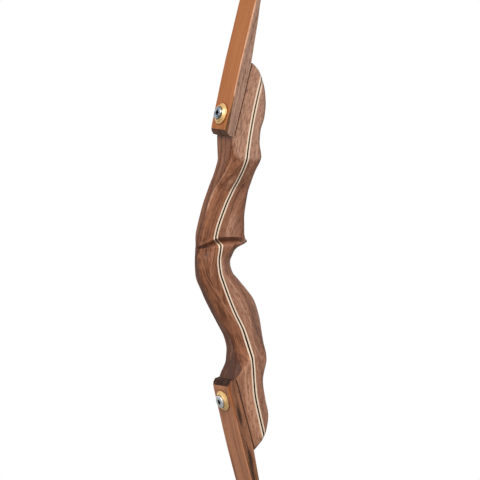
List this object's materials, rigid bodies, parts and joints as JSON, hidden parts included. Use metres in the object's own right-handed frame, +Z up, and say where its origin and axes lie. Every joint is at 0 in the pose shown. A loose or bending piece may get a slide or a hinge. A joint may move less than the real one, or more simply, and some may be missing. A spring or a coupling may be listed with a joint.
{
  "type": "recurve bow",
  "caption": "Unstrung takedown recurve bow: laminated walnut handle with a right-handed sight window and shelf, and two recurved limbs held by key bolts.",
  "frame": {"origin": "throat of the grip, the deepest point of its belly side, on the plane that splits the bow left from right", "axes": "+X towards the archer (the belly side), +Y to the archer's right, +Z up along the bow"},
  "size_m": [0.1225, 0.0444, 1.532],
  "materials": {
    "walnut": "oiled satin walnut with a clear grain",
    "pale_veneer": "satin pale maple",
    "dark_veneer": "satin dark brown wood",
    "limb_face": "amber wood under a clear satin laminate",
    "limb_core": "satin grey-brown wood, seen on edge",
    "brass": "turned, satin",
    "steel": "polished stainless"
  },
  "bodies": {
    "handle": {"handle_back": "walnut", "veneer_front": "pale_veneer", "veneer_dark": "dark_veneer", "veneer_rear": "pale_veneer", "handle_belly": "walnut", "insert_upper": "brass", "insert_lower": "brass", "pin_upper": "steel", "pin_lower": "steel"},
    "limb_upper": {"facing_back_upper": "limb_face", "core_upper": "limb_core", "wedge_upper": "limb_core", "facing_belly_upper": "limb_face", "overlay_upper": "dark_veneer", "washer_upper": "brass"},
    "limb_lower": {"facing_back_lower": "limb_face", "core_lower": "limb_core", "wedge_lower": "limb_core", "facing_belly_lower": "limb_face", "overlay_lower": "dark_veneer", "washer_lower": "brass"},
    "bolt_upper": {"bolt_upper": "steel"},
    "bolt_lower": {"bolt_lower": "steel"}
  },
  "joints": [
    {"name": "limb_upper_slide", "type": "slide", "parent": "handle", "child": "limb_upper", "axis": [-0.9613, 0, 0.2756], "range_m": [0, 0.014]},
    {"name": "bolt_upper_turn", "type": "hinge", "parent": "limb_upper", "child": "bolt_upper", "pos_m": [0.0042, 0, 0.2005], "axis": [-0.9613, 0, 0.2756], "range_deg": [0, 3580]},
    {"name": "limb_lower_slide", "type": "slide", "parent": "handle", "child": "limb_lower", "axis": [-0.9613, 0, -0.2756], "range_m": [0, 0.014]},
    {"name": "bolt_lower_turn", "type": "hinge", "parent": "limb_lower", "child": "bolt_lower", "pos_m": [0.0042, 0, -0.1865], "axis": [-0.9613, 0, -0.2756], "range_deg": [0, 3580]}
  ],
  "couplings": [
    {"joint": "bolt_upper_turn", "follows": "limb_upper_slide", "rad_per_m": 4452.6},
    {"joint": "bolt_lower_turn", "follows": "limb_lower_slide", "rad_per_m": 4452.6}
  ]
}
